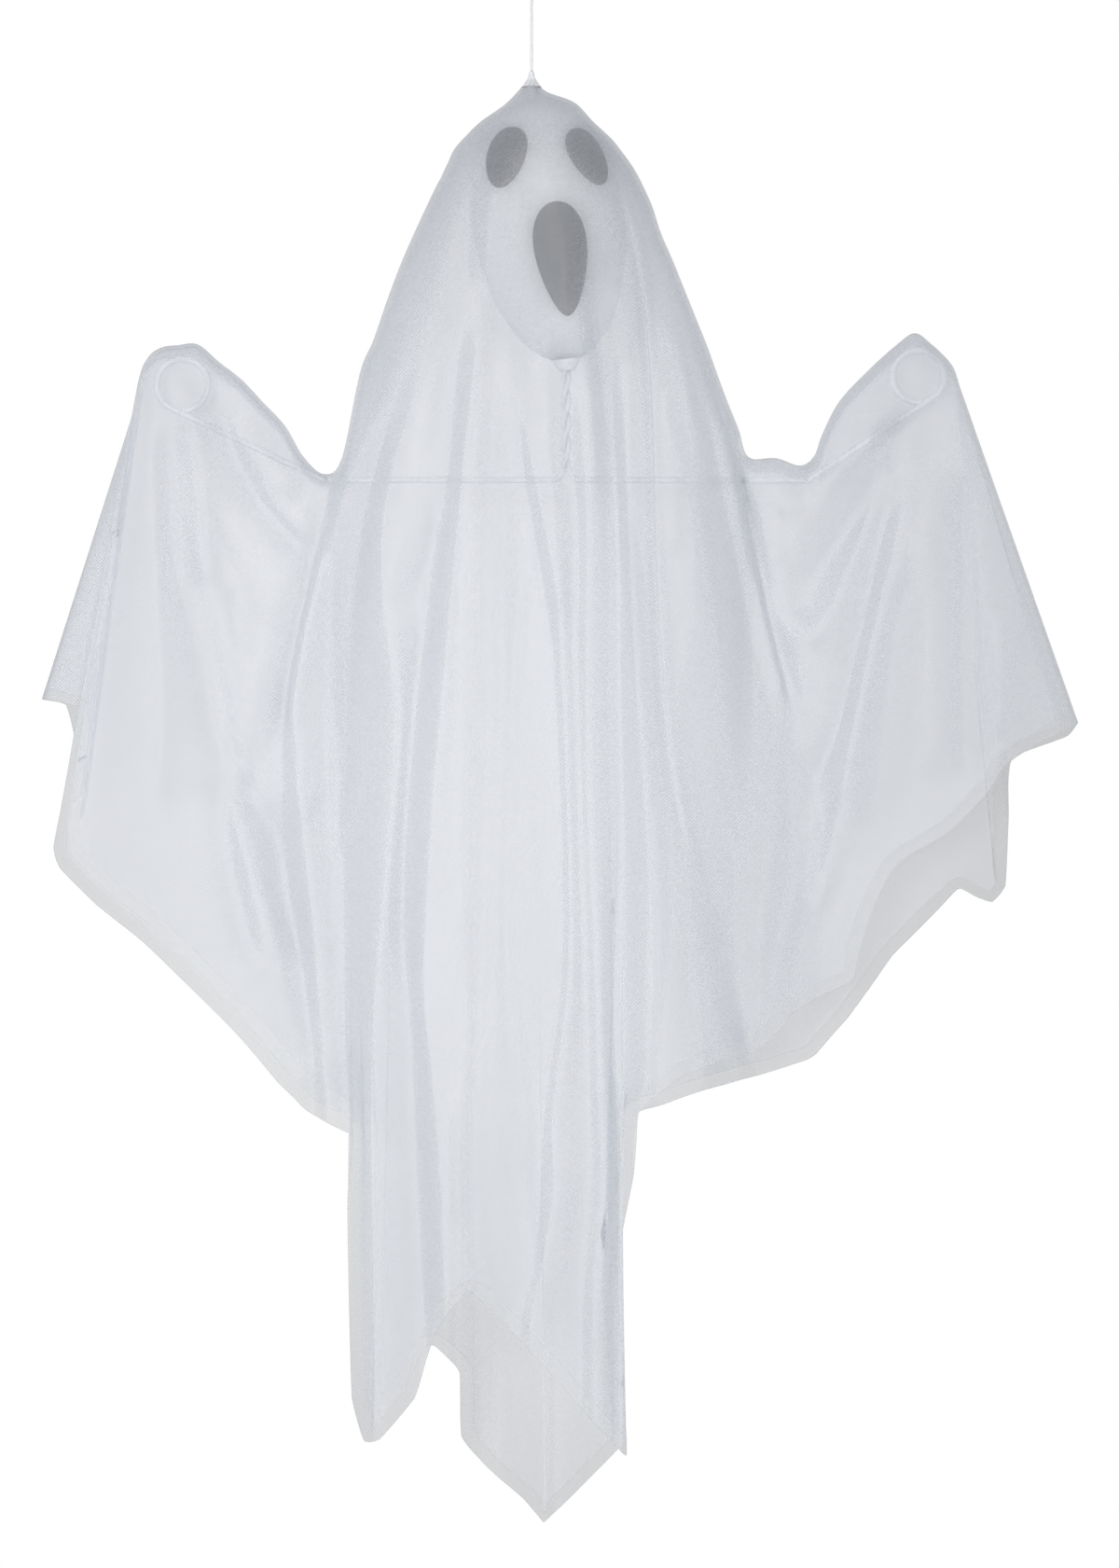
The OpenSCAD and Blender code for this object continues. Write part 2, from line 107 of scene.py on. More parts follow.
patch_painted_shade.inputs["From Min"].default_value = patch_core
patch_painted_shade.inputs["From Max"].default_value = patch_rim
patch_painted_shade.inputs["To Min"].default_value = painted_shade_in_patch
patch_painted_shade.inputs["To Max"].default_value = painted_shade_outside_patch
around = world_nodes.new("ShaderNodeBackground")
around.inputs["Color"].default_value = (0.89, 0.935, 1.0, 1)
room = world_nodes.new("ShaderNodeTexCoord")
towards = world_nodes.new("ShaderNodeSeparateXYZ")
around_level = world_nodes.new("ShaderNodeMapRange")
around_level.inputs["From Min"].default_value = -1.0
around_level.inputs["From Max"].default_value = 1.0
around_level.inputs["To Min"].default_value = room_front
around_level.inputs["To Max"].default_value = room_back
path = world_nodes.new("ShaderNodeLightPath")
either = world_nodes.new("ShaderNodeMath")
either.operation = "MAXIMUM"
any_of = world_nodes.new("ShaderNodeMath")
any_of.operation = "MAXIMUM"
world_links.new(room.outputs["Generated"], towards.inputs["Vector"])
world_links.new(towards.outputs["Y"], around_level.inputs["Value"])
world_links.new(around_level.outputs["Result"], around.inputs["Strength"])
world_links.new(room.outputs["Generated"], patch_reach.inputs[0])
world_links.new(patch_reach.outputs["Vector"], patch_away.inputs[0])
world_links.new(patch_away.outputs["Value"], patch_painted_shade.inputs["Value"])
world_links.new(patch_painted_shade.outputs["Result"], seen_with_painted_shade.inputs["To Max"])
# Painted shade: the wall is dimmed wherever the camera sees it through one or more layers of cloth
world_links.new(path.outputs["Transparent Depth"], seen_with_painted_shade.inputs["Value"])
world_links.new(seen_with_painted_shade.outputs["Result"], seen.inputs["Strength"])
world_links.new(path.outputs["Is Camera Ray"], either.inputs[0])
world_links.new(path.outputs["Is Glossy Ray"], either.inputs[1])
world_links.new(either.outputs[0], any_of.inputs[0])
world_links.new(path.outputs["Is Transmission Ray"], any_of.inputs[1])
world_links.new(any_of.outputs[0], world_mix.inputs["Fac"])
world_links.new(around.outputs[0], world_mix.inputs[1])
world_links.new(seen.outputs[0], world_mix.inputs[2])
world_links.new(world_mix.outputs[0], world_out.inputs["Surface"])

lamp_aim = Vector((-0.04, 0, -0.3))
lamp_spread = math.radians(42)
lamp_colour = (1.0, 0.97, 0.94)
for lamp_name, lamp_place, lamp_size, lamp_power in (("key_lamp", (-0.95, -2.05, 0.05), 0.6, 2.25),
                                                     ("fill_lamp", (1.6, -1.6, 0.0), 1.2, 1.5)):
    lamp_data = bpy.data.lights.new(lamp_name, "AREA")
    lamp_data.shape = "DISK"
    lamp_data.size = lamp_size
    lamp_data.energy = lamp_power
    lamp_data.spread = lamp_spread
    lamp_data.color = lamp_colour
    lamp = bpy.data.objects.new(lamp_name, lamp_data)
    scene.collection.objects.link(lamp)
    lamp.location = lamp_place
    lamp.rotation_euler = (lamp_aim - Vector(lamp_place)).to_track_quat("-Z", "Y").to_euler()

# Hanging cord: thin twisted white cotton cord that comes out of the crown cone, is tied in a small
# knot and ends in the loop that goes over a hook. Each run is a three-lobed tube that turns as it goes.
cord_diameter = 0.0012
cord_make = {"diameter": cord_diameter, "lobes": 3, "sides": 18, "lay_length": 0.0042}
lobe_depth = 0.14


def points_along(points, at, roundness):
    """Points at places along a listed line: straight between its points at 0, on a curve at 1."""
    listed = np.array(points, float)
    i = np.clip(np.floor(at).astype(int), 0, len(listed) - 2)
    t = (at - i)[:, None]
    p0, p1 = listed[np.maximum(i - 1, 0)], listed[i]
    p2, p3 = listed[i + 1], listed[np.minimum(i + 2, len(listed) - 1)]
    straight = p1 + (p2 - p1) * t
    curved = 0.5 * (2 * p1 + (p2 - p0) * t + (2 * p0 - 5 * p1 + 4 * p2 - p3) * t ** 2
                    + (3 * p1 - p0 - 3 * p2 + p3) * t ** 3)
    return straight + (curved - straight) * roundness


def rounded(route, steps):
    """A route on a curve through its listed points, with this many steps from each to the next."""
    last = len(route) - 1
    return points_along(route, np.linspace(0, last, steps * last + 1), 1.0)


def lay_cord(name, route, diameter, lobes, sides, lay_length, closed=False):
    """A twisted tube of cord along a route, made by extruding one lobed ring from point to point."""
    cord_mesh = bmesh.new()
    ring = bmesh.ops.create_circle(cord_mesh, segments=sides, radius=diameter / 2)["verts"]
    for vert in ring:
        angle = math.atan2(vert.co.y, vert.co.x)
        vert.co *= 1 - lobe_depth + lobe_depth * math.cos(lobes * angle)
    way = (route[1] - route[0]).normalized()
    turn = way.to_track_quat("Z", "X").to_matrix().to_4x4()
    bmesh.ops.transform(cord_mesh, matrix=Matrix.Translation(route[0]) @ turn, verts=ring)
    edges = list(cord_mesh.edges)
    if not closed:
        bmesh.ops.contextual_create(cord_mesh, geom=edges)
    for i in range(1, len(route)):
        ahead = (route[min(i + 1, len(route) - 1)] - route[i - 1]).normalized()
        swing = way.rotation_difference(ahead).to_matrix().to_4x4()
        step = (route[i] - route[i - 1]).length
        spin = Matrix.Rotation(step * 2 * math.pi / lay_length, 4, ahead)
        new = bmesh.ops.extrude_edge_only(cord_mesh, edges=edges)["geom"]
        verts = [g for g in new if isinstance(g, bmesh.types.BMVert)]
        edges = [g for g in new if isinstance(g, bmesh.types.BMEdge)
                 and all(v in verts for v in g.verts)]
        bmesh.ops.transform(cord_mesh, verts=verts, matrix=Matrix.Translation(route[i]) @ spin @ swing
                            @ Matrix.Translation(-route[i - 1]))
        way = ahead
    if not closed:
        bmesh.ops.contextual_create(cord_mesh, geom=edges)
    bmesh.ops.recalc_face_normals(cord_mesh, faces=cord_mesh.faces)
    for face in cord_mesh.faces:
        face.smooth = True
    data = bpy.data.meshes.new(name)
    cord_mesh.to_mesh(data)
    cord_mesh.free()
    piece = bpy.data.objects.new(name, data)
    scene.collection.objects.link(piece)
    return piece


# Speckle that cotton, glue, felt, wire and thread share: fine noise from a dark tone to a light one
speckle = bpy.data.node_groups.new("speckle", "ShaderNodeTree")
for socket, kind in (("Scale", "Float"), ("Detail", "Float"), ("Dark", "Color"), ("Light", "Color")):
    speckle.interface.new_socket(socket, in_out="INPUT", socket_type=f"NodeSocket{kind}")
for socket, kind in (("Color", "Color"), ("Height", "Float")):
    speckle.interface.new_socket(socket, in_out="OUTPUT", socket_type=f"NodeSocket{kind}")
speckle_in = speckle.nodes.new("NodeGroupInput")
speckle_out = speckle.nodes.new("NodeGroupOutput")
speckle_place = speckle.nodes.new("ShaderNodeTexCoord")
speckle_noise = speckle.nodes.new("ShaderNodeTexNoise")
speckle_tone = speckle.nodes.new("ShaderNodeMixRGB")
speckle.links.new(speckle_place.outputs["Object"], speckle_noise.inputs["Vector"])
speckle.links.new(speckle_in.outputs["Scale"], speckle_noise.inputs["Scale"])
speckle.links.new(speckle_in.outputs["Detail"], speckle_noise.inputs["Detail"])
speckle.links.new(speckle_noise.outputs["Fac"], speckle_tone.inputs["Fac"])
speckle.links.new(speckle_in.outputs["Dark"], speckle_tone.inputs["Color1"])
speckle.links.new(speckle_in.outputs["Light"], speckle_tone.inputs["Color2"])
speckle.links.new(speckle_tone.outputs["Color"], speckle_out.inputs["Color"])
speckle.links.new(speckle_noise.outputs["Fac"], speckle_out.inputs["Height"])


def speckled(name, scale, detail, dark, light):
    """A new material with a speckled base colour: the material, its shader and the speckle's height."""
    material = bpy.data.materials.new(name)
    material.use_nodes = True
    nodes = material.node_tree.nodes
    shader = nodes["Principled BSDF"]
    grain = nodes.new("ShaderNodeGroup")
    grain.node_tree = speckle
    grain.inputs["Scale"].default_value = scale
    grain.inputs["Detail"].default_value = detail
    grain.inputs["Dark"].default_value = (*dark, 1)
    grain.inputs["Light"].default_value = (*light, 1)
    material.node_tree.links.new(grain.outputs["Color"], shader.inputs["Base Color"])
    return material, shader, grain.outputs["Height"]


def add_relief(material, height, distance, strength):
    """A bump on a material from a height, and the bump's node."""
    nodes, links = material.node_tree.nodes, material.node_tree.links
    relief = nodes.new("ShaderNodeBump")
    relief.inputs["Distance"].default_value = distance
    relief.inputs["Strength"].default_value = strength
    links.new(height, relief.inputs["Height"])
    links.new(relief.outputs["Normal"], nodes["Principled BSDF"].inputs["Normal"])
    return relief


def coat_nodes(names, material):
    """Gives the named solids of the part one material."""
    for name in names:
        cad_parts[name].data.materials.clear()
        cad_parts[name].data.materials.append(material)


cord_cotton, cord_shader, cord_fuzz = speckled("cord_cotton", scale=2600, detail=3, dark=(0.78, 0.79, 0.78),
                                               light=(0.93, 0.93, 0.92))
add_relief(cord_cotton, cord_fuzz, distance=0.00012, strength=0.5)
cord_shader.inputs["Roughness"].default_value = 0.8
cord_shader.inputs["Sheen Weight"].default_value = 0.3


def hang_cotton(name, route, body, node, closed=False):
    """A run of the cotton cord in place of one of the part's solids."""
    piece = lay_cord(name, route, closed=closed, **cord_make)
    piece.data.materials.append(cord_cotton)
    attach(piece, body)
    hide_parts(node)
    return piece


cord_foot = Vector((0, 0, -0.0669))
cord_head = Vector((0, 0, -0.0318))
cord_steps = 36
cord_route = [cord_foot.lerp(cord_head, i / cord_steps) for i in range(cord_steps + 1)]
hang_cord = hang_cotton("white_hang_cord", cord_route, "cord", "hang_cord")

knot_middle = Vector((0, 0, -0.03))
knot_reach = 0.00062
knot_steps = 72
knot_route = []
for i in range(knot_steps + 1):
    a = 2 * math.pi * i / knot_steps
    knot_route.append(knot_middle + knot_reach * Vector((math.sin(a) + 2 * math.sin(2 * a),
                                                       1.3 * math.sin(3 * a),
                                                       math.cos(a) - 2 * math.cos(2 * a))))
loop_knot = hang_cotton("overhand_knot", knot_route, "knot", "loop_knot", closed=True)

# Right half of the loop from the knot to its top, as (x, z) in mm
loop_half = [(0.9, -28.6), (1.0, -26.7), (2.2, -23.5), (4.6, -17.9), (6.4, -11.8), (6.8, -6.9), (5.4, -2.6),
             (2.8, -0.2), (0, 0.6)]
loop_points = loop_half + [(-x, z) for x, z in loop_half[-2::-1]]
loop_route = [Vector((x, 0, z)) / 1000 for x, z in rounded(loop_points, 6)]
hang_loop = hang_cotton("white_hang_loop", loop_route, "hanger", "hang_loop")
coat_nodes(("cord_tail", "anchor_knot"), cord_cotton)

# Glue: beads of clear hot-melt glue that hold the cord at the crown and in the head, and the neck wire
# under the chin. Milky, glossy and slightly lumpy, as it sets.
hot_glue, glue_shader, glue_lumps = speckled("hot_glue", scale=420, detail=2, dark=(0.68, 0.70, 0.72),
                                             light=(0.78, 0.79, 0.80))
add_relief(hot_glue, glue_lumps, distance=0.0004, strength=0.4)
glue_shader.inputs["Roughness"].default_value = 0.35
coat_nodes(("crown_glue", "anchor_glue", "neck_glue"), hot_glue)

# Head: an egg of pressed bead foam, white and matt, that hangs on the cord and carries the wire arms.
# Its small round beads show as cells, and light goes a little way into it.
bead_foam = bpy.data.materials.new("bead_foam")
bead_foam.use_nodes = True
foam_nodes, foam_links = bead_foam.node_tree.nodes, bead_foam.node_tree.links
foam_shader = foam_nodes["Principled BSDF"]
foam_place = foam_nodes.new("ShaderNodeTexCoord")
foam_beads = foam_nodes.new("ShaderNodeTexVoronoi")
foam_beads.inputs["Scale"].default_value = 380
foam_tone = foam_nodes.new("ShaderNodeValToRGB")
foam_tone.color_ramp.elements[0].color = (0.63, 0.645, 0.665, 1)
foam_tone.color_ramp.elements[1].color = (0.59, 0.605, 0.625, 1)
foam_links.new(foam_place.outputs["Object"], foam_beads.inputs["Vector"])
foam_links.new(foam_beads.outputs["Distance"], foam_tone.inputs["Fac"])
foam_links.new(foam_tone.outputs["Color"], foam_shader.inputs["Base Color"])
foam_relief = add_relief(bead_foam, foam_beads.outputs["Distance"], distance=0.0004, strength=0.2)
foam_relief.invert = True
foam_shader.inputs["Roughness"].default_value = 0.85
foam_shader.inputs["Subsurface Weight"].default_value = 0.9
foam_shader.inputs["Subsurface Radius"].default_value = (1, 1, 1)
foam_shader.inputs["Subsurface Scale"].default_value = 0.05
coat_nodes(("head",), bead_foam)

# Face: two oval eyes and an open mouth, cut from thin black felt with a short fuzzy pile and glued to
# the front of the foam egg, under the cloth.
black_felt, felt_shader, felt_fibres = speckled("black_felt", scale=1500, detail=4,
                                                dark=(0.006, 0.007, 0.008), light=(0.03, 0.032, 0.035))
add_relief(black_felt, felt_fibres, distance=0.0002, strength=0.6)
felt_shader.inputs["Roughness"].default_value = 0.95
felt_shader.inputs["Sheen Weight"].default_value = 0.1
coat_nodes(("left_eye", "right_eye", "mouth"), black_felt)

# Wire: soft steel wire in a thin white coat, twisted at the neck, bent level for the shoulders and
# up for the arms, with a round loop for each hand. The coat is satin, with faint drawing marks.
coated_wire, wire_shader, wire_marks = speckled("coated_wire", scale=700, detail=2, dark=(0.645, 0.66, 0.685),
                                                light=(0.705, 0.72, 0.745))
wire_rough = coated_wire.node_tree.nodes.new("ShaderNodeMapRange")
wire_rough.inputs["To Min"].default_value = 0.5
wire_rough.inputs["To Max"].default_value = 0.65
coated_wire.node_tree.links.new(wire_marks, wire_rough.inputs["Value"])
coated_wire.node_tree.links.new(wire_rough.outputs["Result"], wire_shader.inputs["Roughness"])
coat_nodes(("neck_twist", "left_shoulder_wire", "right_shoulder_wire", "left_forearm_wire",
            "right_forearm_wire"), coated_wire)

# Sheets: two layers of thin, sheer white woven cloth, one over the other, laid over head and hands and
# set with glue at the crown. Each hangs in strands from a ridge that runs hand, elbow, cheek, crown and
# back down to its hem, front and back, and is folded along the lines on which the cloth breaks.

# Ridge, and the front and back hem under each of its points, left corner to right corner, (x, z) in mm
ridge_points = [
    (-136.4, -179.3), (-136.1, -175.1), (-135.7, -171.8), (-135.1, -169.6), (-133.8, -167.0),
    (-131.5, -164.1), (-127.7, -162.1), (-122.8, -161.5), (-115.7, -161.2), (-108.3, -167.3),
    (-100.5, -173.4), (-93.4, -180.9), (-85.3, -189.6), (-79.2, -199.9), (-72.1, -206.1), (-65.9, -200.9),
    (-59.5, -171.2), (-54.9, -159.9), (-50.1, -146.0), (-45.2, -133.0), (-40.7, -122.7), (-36.2, -113.0),
    (-33.6, -107.5), (-31.4, -103.3), (-29.1, -98.5), (-26.8, -93.6), (-22.6, -88.8), (-17.5, -83.9),
    (-9.7, -78.4), (-4.8, -73.6), (-1.9, -70.0), (0.0, -66.8), (1.9, -70.0), (5.2, -73.6), (14.9, -77.4),
    (21.3, -83.9), (27.5, -89.7), (30.7, -93.6), (34.3, -98.5), (37.2, -103.3), (41.7, -113.0),
    (44.9, -122.7), (49.1, -132.4), (53.0, -142.1), (56.9, -151.8), (60.8, -161.5), (64.3, -171.2),
    (67.9, -180.9), (71.8, -190.6), (75.3, -200.3), (84.7, -200.6), (93.1, -203.2), (97.9, -199.9),
    (100.8, -192.2), (106.7, -180.9), (116.4, -170.5), (126.0, -161.8), (132.8, -157.3), (138.7, -161.2),
    (144.1, -166.3), (146.7, -170.2), (148.0, -174.7), (150.0, -180.2)]
front_hem = [
    (-169.7, -284.0), (-157.1, -287.2), (-161.0, -315.0), (-164.8, -335.4), (-162.6, -342.5),
    (-150.0, -355.1), (-133.8, -368.0), (-115.1, -386.1), (-103.4, -397.7), (-95.3, -406.8),
    (-87.9, -415.8), (-82.4, -421.3), (-77.6, -426.2), (-70.5, -430.1), (-64.0, -433.3), (-61.4, -434.6),
    (-63.3, -457.2), (-62.7, -494.4), (-61.7, -525.1), (-57.5, -539.0), (-52.0, -538.0), (-40.1, -524.1),
    (-36.2, -511.2), (-33.3, -502.5), (-28.4, -494.4), (-21.3, -486.6), (-15.5, -491.8), (-9.7, -497.6),
    (3.2, -511.2), (9.0, -517.6), (11.6, -520.9), (13.6, -523.1), (15.5, -525.4), (17.8, -527.7),
    (27.1, -538.0), (32.6, -543.5), (32.0, -527.0), (31.0, -507.3), (29.4, -487.6), (31.0, -467.9),
    (34.9, -447.8), (35.9, -435.9), (36.8, -425.5), (49.4, -414.5), (61.7, -409.4), (73.0, -407.4),
    (80.5, -402.9), (90.5, -392.6), (100.8, -386.1), (108.3, -382.9), (111.2, -380.6), (113.1, -371.6),
    (115.4, -363.5), (118.3, -355.4), (122.2, -347.3), (127.3, -339.9), (142.5, -331.2), (150.6, -324.0),
    (159.0, -314.4), (163.2, -307.2), (170.0, -302.4), (185.2, -296.9), (189.4, -292.1)]
back_hem = [
    (-169.7, -284.0), (-161.6, -285.9), (-158.4, -300.5), (-161.6, -326.3), (-159.7, -338.6),
    (-148.0, -350.6), (-132.5, -362.8), (-114.4, -380.6), (-103.1, -392.2), (-95.0, -401.3),
    (-87.9, -410.3), (-82.1, -416.2), (-77.2, -421.0), (-70.5, -425.2), (-64.0, -428.8), (-58.8, -431.7),
    (-60.1, -455.6), (-59.5, -494.4), (-58.5, -521.8), (-55.9, -533.2), (-51.1, -532.5), (-42.0, -520.2),
    (-37.8, -511.2), (-34.3, -510.2), (-29.7, -514.4), (-25.2, -519.6), (-24.6, -542.2), (-16.2, -552.6),
    (-3.2, -563.9), (0.6, -568.4), (2.6, -570.7), (4.2, -572.6), (7.1, -569.7), (12.9, -564.2),
    (22.6, -554.5), (28.1, -549.0), (32.6, -543.5), (32.0, -527.0), (31.0, -507.3), (29.4, -487.6),
    (30.4, -462.1), (33.0, -442.7), (36.2, -429.1), (45.6, -425.9), (54.9, -422.6), (64.6, -419.4),
    (74.3, -416.2), (85.0, -412.9), (95.7, -409.4), (98.9, -407.4), (104.4, -401.0), (110.2, -394.5),
    (118.0, -383.8), (125.7, -372.9), (133.5, -365.1), (141.2, -357.3), (148.7, -349.6), (155.1, -352.8),
    (160.3, -354.4), (164.8, -348.9), (165.8, -326.3), (166.4, -305.3), (189.4, -292.1)]
crown_station = 31
middle_x = 2.5

# Columns of the cloth grid in mm, finer between the shoulders, where the folds are close
wing_pitch, middle_pitch = 1.4, 0.6
middle_start, middle_end = 17, 49
hem_weight = 0.55
stations = [0.0]
for i in range(len(ridge_points) - 1):
    ridge_run, front_run, back_run = [math.dist(line[i], line[i + 1])
                                      for line in (ridge_points, front_hem, back_hem)]
    pitch = middle_pitch if middle_start <= i < middle_end else wing_pitch
    pieces = max(1, round(max(ridge_run, hem_weight * front_run, hem_weight * back_run) / pitch))
    stations += [i + (k + 1) / pieces for k in range(pieces)]
stations = np.array(stations)
crown_column = int(np.argmin(abs(stations - crown_station)))
row_count = 124
row_crowding = 1.12
row_shares = (np.arange(row_count + 1) / row_count) ** row_crowding

# What the cloth lies on, in mm: the leaning foam egg, and a cone given as level, half width, half depth
egg_top, egg_tilt = -76.09, math.radians(8)
egg_radius, egg_widest, egg_height = 26.5, 40.0, 92.0
cone_profile = [(-600, 78, 31), (-215, 73, 29.6), (-191, 68.4, 29), (-171, 61.9, 28.4), (-152, 54.6, 27.5),
                (-132, 47, 26.5), (-113, 38.9, 25.6), (-103, 34.3, 25), (-93.6, 28.8, 24),
                (-83.9, 19.4, 18), (-77.4, 12.3, 11), (-74, 7, 7), (-72, 3.9, 3.9), (-70.7, 2.7, 2.7),
                (-69.4, 1.9, 1.9), (-67, 1.3, 1.3)]
cone_levels, cone_widths, cone_depths = np.array(cone_profile, float).T


def smooth_step(low, high, value):
    """Eases from 0 at low to 1 at high, and stays level outside them."""
    t = np.clip((value - low) / (high - low), 0, 1)
    return t * t * (3 - 2 * t)


def quarter_round(share):
    """A quarter circle from 0 up to 1, level from there on."""
    return np.sqrt(np.clip(1 - (1 - np.clip(share, 0, 1)) ** 2, 0, 1))


def softer_max(a, b, width):
    """The larger of two heights, with the corner between them rounded over a width."""
    return (a + b + np.sqrt((a - b) ** 2 + width ** 2)) / 2


def egg_depth(x, z, skin, bell):
    """Half depth of the head at (x, z), grown by a skin; a bell keeps its widest size further down."""
    down = egg_top - z
    h = down * math.cos(egg_tilt) + x * math.sin(egg_tilt)
    side = x * math.cos(egg_tilt) - down * math.sin(egg_tilt)
    span = np.where(h < egg_widest, egg_widest + skin, egg_height - egg_widest + skin)
    share = (h - egg_widest) / span
    if bell:
        share = np.where(h < egg_widest, share, 0)
    radius = (egg_radius + skin) * np.sqrt(np.clip(1 - share ** 2, 0, 1))
    return np.sqrt(np.clip(radius ** 2 - side ** 2, 0, None))


# Tucks, where the cloth rises beside a line and is pushed over it: route, lift (below 0 for the other side
# of the line), reach and half width in mm
tucks = [
    ([(-64.0, -201.9), (-68.8, -210.0), (-73.4, -233.6), (-79.8, -259.4), (-83.4, -278.8), (-85.3, -292.4),
      (-87.3, -300.5)], 3.0, 1.4, 7.0),
    ([(13.6, -86.5), (19.4, -94.6), (25.2, -102.7), (31.4, -113.0), (35.6, -126.9), (38.1, -141.1),
      (39.4, -152.4), (41.4, -186.7), (42.7, -234.2), (44.9, -272.3), (48.8, -310.2), (54.6, -338.6),
      (60.8, -361.9)], 1.5, 0.9, 3.6),
    ([(53.3, -145.3), (56.6, -152.4), (63.7, -179.9), (67.9, -192.2), (75.6, -228.4), (81.1, -254.9),
      (88.9, -285.6), (92.4, -295.6)], -3.0, 1.4, 7.0)]
# Short folds on wings and head: route, height (grooves below 0), width left and right of the route in mm
short_folds = [
    ([(-124.1, -166.3), (-122.8, -171.2), (-118.0, -186.4), (-114.1, -212.2), (-112.2, -238.1),
      (-111.2, -248.7)], 3.0, 3.0, 3.0),
    ([(-130.9, -184.1), (-130.2, -201.2), (-129.3, -244.5), (-128.3, -281.1), (-129.0, -326.3)],
      3.0, 4.0, 4.0),
    ([(-103.4, -187.3), (-101.2, -192.8), (-86.3, -205.8), (-77.6, -213.2)], 2.4, 5.0, 5.0),
    ([(-94.7, -210.0), (-79.8, -227.1), (-74.3, -232.6)], 1.6, 3.0, 3.0),
    ([(-105.7, -311.1), (-99.2, -335.0), (-90.5, -362.8), (-84.0, -388.7), (-77.6, -410.3),
      (-71.1, -425.5)], 3.2, 3.5, 3.5),
    ([(-92.8, -311.1), (-79.8, -319.8), (-74.3, -323.1)], 2.0, 5.0, 5.0),
    ([(-57.2, -305.3), (-61.4, -319.8), (-66.9, -336.7)], 1.2, 1.8, 1.8),
    ([(-64.6, -374.8), (-62.4, -413.6)], 1.6, 4.0, 4.0),
    ([(-15.2, -104.3), (-13.9, -125.9), (-14.5, -148.6)], 1.2, 3.0, 3.0),
    ([(4.2, -150.2), (5.2, -182.8), (9.0, -228.4), (11.6, -262.6)], 2.6, 3.4, 3.4),
    ([(12.0, -130.1), (11.0, -150.2)], 1.2, 2.0, 2.0),
    ([(44.9, -167.6), (48.8, -220.9), (50.1, -235.8)], 1.8, 3.0, 3.0),
    ([(111.5, -177.6), (113.1, -181.8), (116.4, -194.8), (104.4, -205.8), (91.5, -214.2), (82.4, -220.3)],
      3.0, 3.0, 3.0),
    ([(131.9, -162.1), (130.2, -164.7), (123.8, -179.9), (122.8, -192.8)], 2.6, 3.0, 3.0),
    ([(125.1, -199.6), (117.3, -220.6), (108.9, -242.3), (100.2, -259.4), (87.3, -264.9)], 2.6, 3.0, 3.0),
    ([(128.3, -213.2), (123.8, -242.3), (117.3, -268.1), (110.9, -298.2), (106.7, -324.0), (100.2, -352.2),
      (97.0, -365.1)], 3.6, 3.2, 3.2),
    ([(135.1, -197.0), (135.7, -248.7), (136.7, -302.7), (135.7, -316.6)], 2.0, 5.0, 5.0),
    ([(163.2, -248.7), (162.6, -259.4), (161.6, -298.2)], 1.6, 3.0, 3.0),
    ([(58.2, -384.5), (66.3, -395.8), (75.3, -407.1)], 1.6, 3.5, 3.5),
    ([(72.7, -365.1), (74.3, -400.6)], 1.6, 4.0, 4.0),
    ([(-32.3, -420.0), (-29.1, -442.7), (-27.5, -462.1)], 1.6, 4.0, 4.0),
    ([(-84.0, -276.2), (-86.0, -290.8), (-90.5, -299.8), (-99.2, -303.7), (-106.7, -302.4),
      (-111.5, -298.8)], -2.0, 4.0, 6.0),
    ([(-126.0, -184.1), (-126.0, -205.8), (-123.8, -233.6), (-119.6, -251.0), (-113.1, -272.3),
      (-109.9, -291.7), (-108.3, -310.2)], -4.0, 4.5, 4.5),
    ([(-110.5, -172.8), (-108.9, -177.6), (-105.7, -190.6), (-99.2, -207.7), (-88.2, -222.9),
      (-77.6, -233.6), (-72.7, -237.4)], -4.0, 3.0, 3.0),
    ([(-90.5, -214.2), (-84.0, -214.5), (-69.5, -213.8)], -1.6, 2.0, 2.0),
    ([(-103.4, -247.8), (-101.8, -255.2), (-99.5, -269.1)], -2.0, 2.5, 2.5),
    ([(-101.8, -308.5), (-100.2, -313.4), (-92.8, -324.0), (-88.2, -335.0), (-86.3, -352.2),
      (-81.8, -367.4), (-79.2, -378.0)], -4.0, 3.2, 3.2),
    ([(-108.3, -305.3), (-106.7, -316.6), (-103.4, -345.7), (-97.0, -371.6), (-93.7, -381.3)],
      -3.0, 4.0, 4.0),
    ([(-32.0, -221.3), (-38.5, -243.6), (-50.1, -256.8), (-56.6, -260.1)], -2.4, 3.0, 3.0),
    ([(-15.5, -98.5), (-20.0, -113.0), (-21.7, -128.2), (-22.6, -145.3)], -1.2, 3.0, 3.0),
    ([(82.4, -213.2), (83.1, -216.4), (87.3, -227.1), (91.5, -242.3), (92.4, -247.1)], -1.8, 1.6, 1.6),
    ([(122.8, -180.9), (125.1, -201.2), (115.4, -216.4), (100.2, -238.1), (91.5, -252.9), (85.6, -258.4)],
      -4.4, 5.0, 5.0),
    ([(126.0, -204.5), (121.2, -226.1), (117.3, -242.3), (110.9, -272.3), (104.4, -298.2), (96.0, -317.6),
      (92.1, -323.1)], -3.4, 3.0, 3.0),
    ([(128.3, -240.0), (123.8, -281.1), (119.6, -315.6), (116.4, -332.8)], -2.4, 4.0, 4.0),
    ([(147.4, -203.5), (148.7, -214.2), (149.6, -242.3), (149.3, -272.3), (150.9, -315.6)], -3.2, 2.2, 2.2),
    ([(89.8, -389.3), (90.5, -393.2), (94.7, -409.4)], -1.2, 2.0, 2.0),
    ([(71.1, -395.8), (75.3, -408.7)], -1.2, 2.0, 2.0)]
